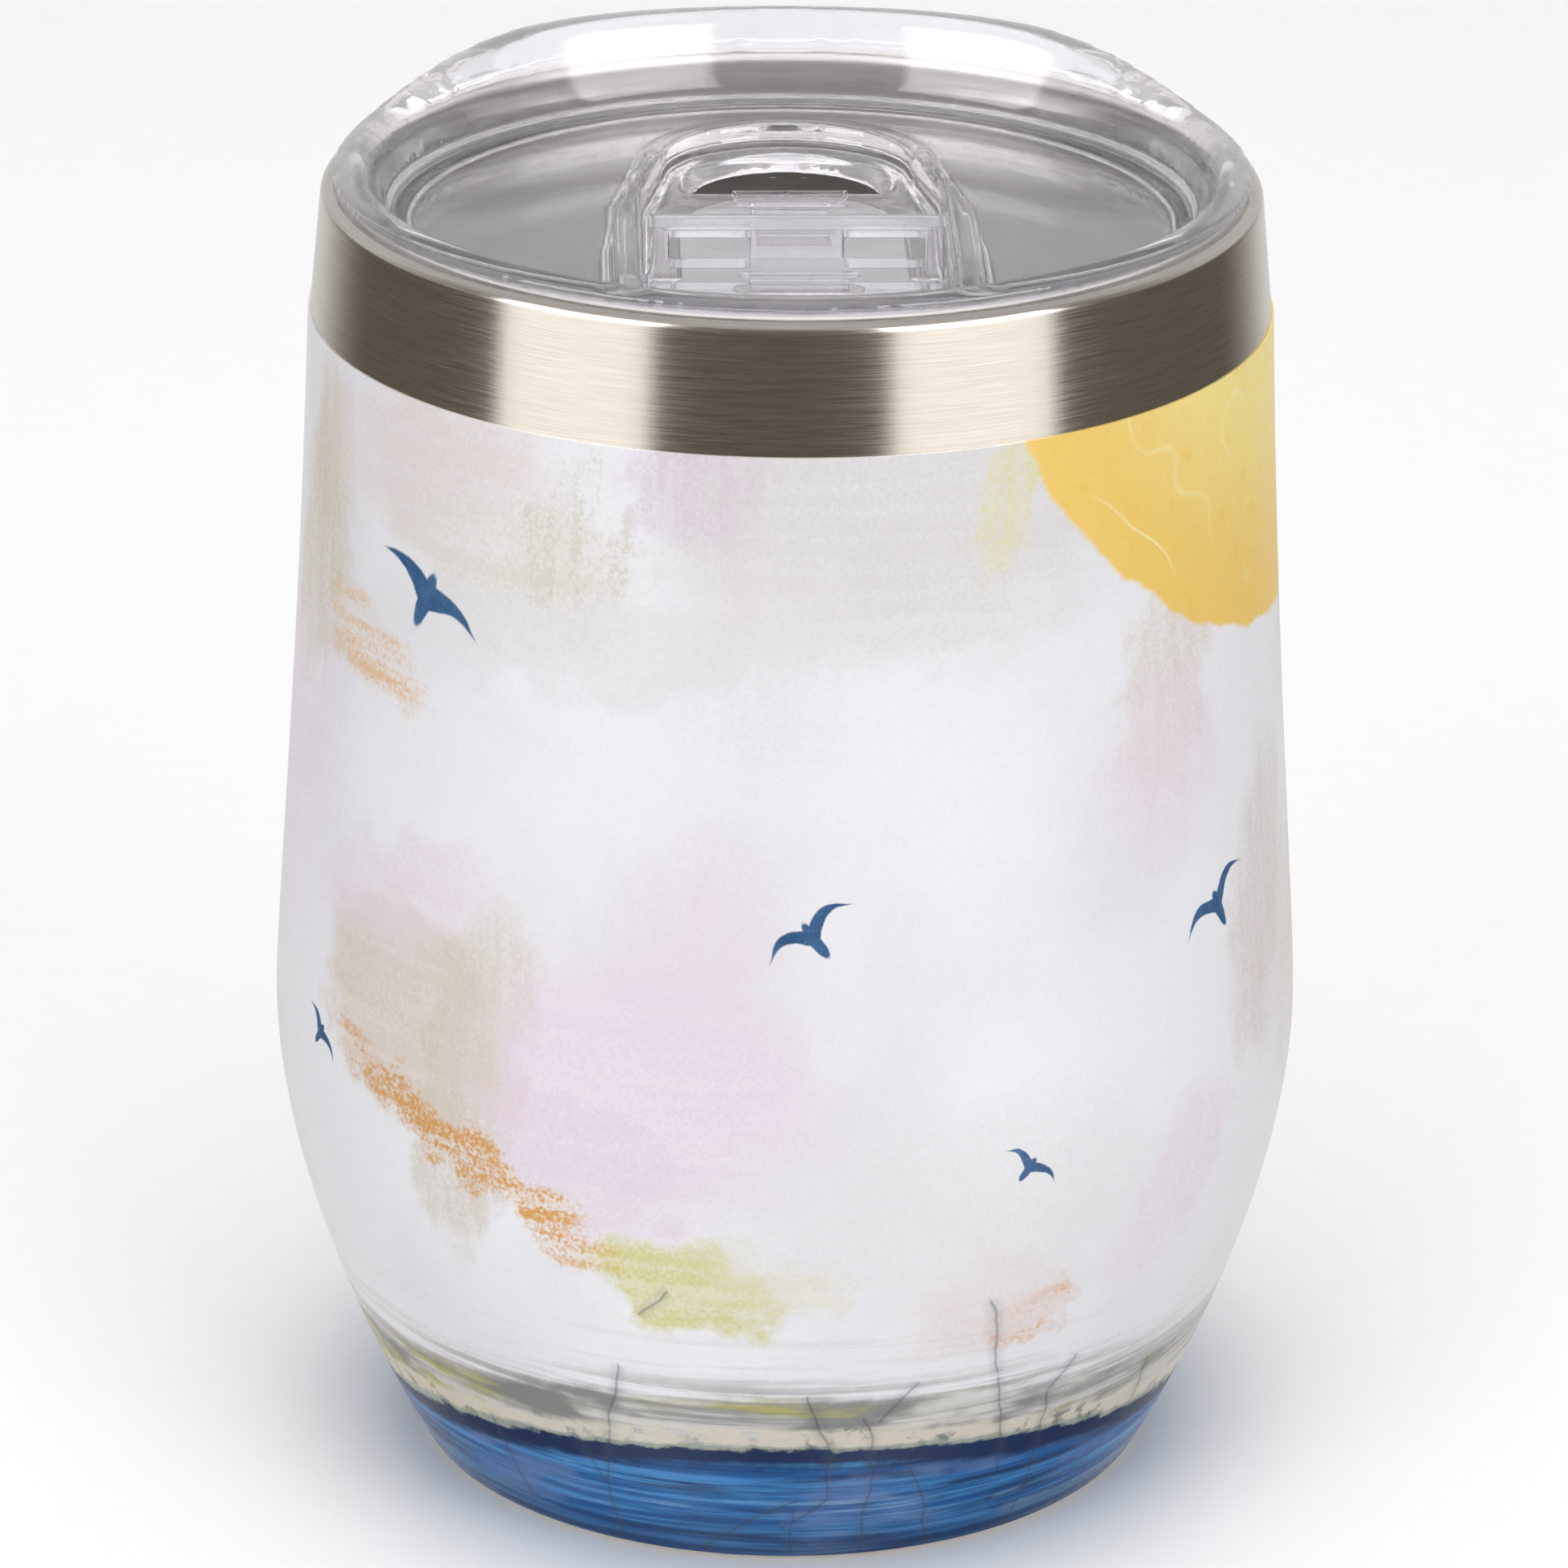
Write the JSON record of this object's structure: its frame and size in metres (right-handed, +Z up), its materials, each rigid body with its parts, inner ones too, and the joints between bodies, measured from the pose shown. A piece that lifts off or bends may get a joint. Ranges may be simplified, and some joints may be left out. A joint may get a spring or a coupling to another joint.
{
  "type": "insulated tumbler with lid",
  "caption": "Stemless double-walled steel tumbler with a printed wrap, a clear press-in lid with a soft seal ring, and a sliding drink closure.",
  "frame": {"origin": "centre of the foot ring, on the surface the tumbler stands on", "axes": "+Z up the cup, +Y towards the raised drinking side of the lid, -Y towards the side the slider is drawn back to when open"},
  "size_m": [0.0874, 0.0874, 0.1165],
  "materials": {
    "steel_band": "brushed round the cup",
    "liner_steel": "satin",
    "base_steel": "plain pressed",
    "bead": "fused",
    "getter": "matte",
    "foil": "bright",
    "cover_steel": "satin",
    "print_film": "satin",
    "seal_silicone": "translucent",
    "clear_lid": "clear, polished",
    "clear_slider": "clear, polished"
  },
  "bodies": {
    "tumbler": {"outer_shell": "steel_band", "inner_liner": "liner_steel", "outer_bottom": "base_steel", "seal_bead": "bead", "getter_clip": "base_steel", "getter_pellet": "getter", "radiation_foil": "foil", "bottom_cover": "cover_steel", "printed_wrap": "print_film"},
    "seal_ring": {"lid_gasket": "seal_silicone"},
    "lid": {"lid_body": "clear_lid"},
    "closure": {"slider": "clear_slider"}
  },
  "joints": [
    {"name": "lid_lift", "type": "slide", "parent": "tumbler", "child": "seal_ring", "axis": [0, 0, 1], "range_m": [0, 0.08]},
    {"name": "lid_turn", "type": "hinge", "parent": "seal_ring", "child": "lid", "pos_m": [0, 0, 0.106], "axis": [0, 0, 1], "continuous": true},
    {"name": "slider_slide", "type": "slide", "parent": "lid", "child": "closure", "axis": [0, 1, 0], "range_m": [0, 0.0143]}
  ]
}
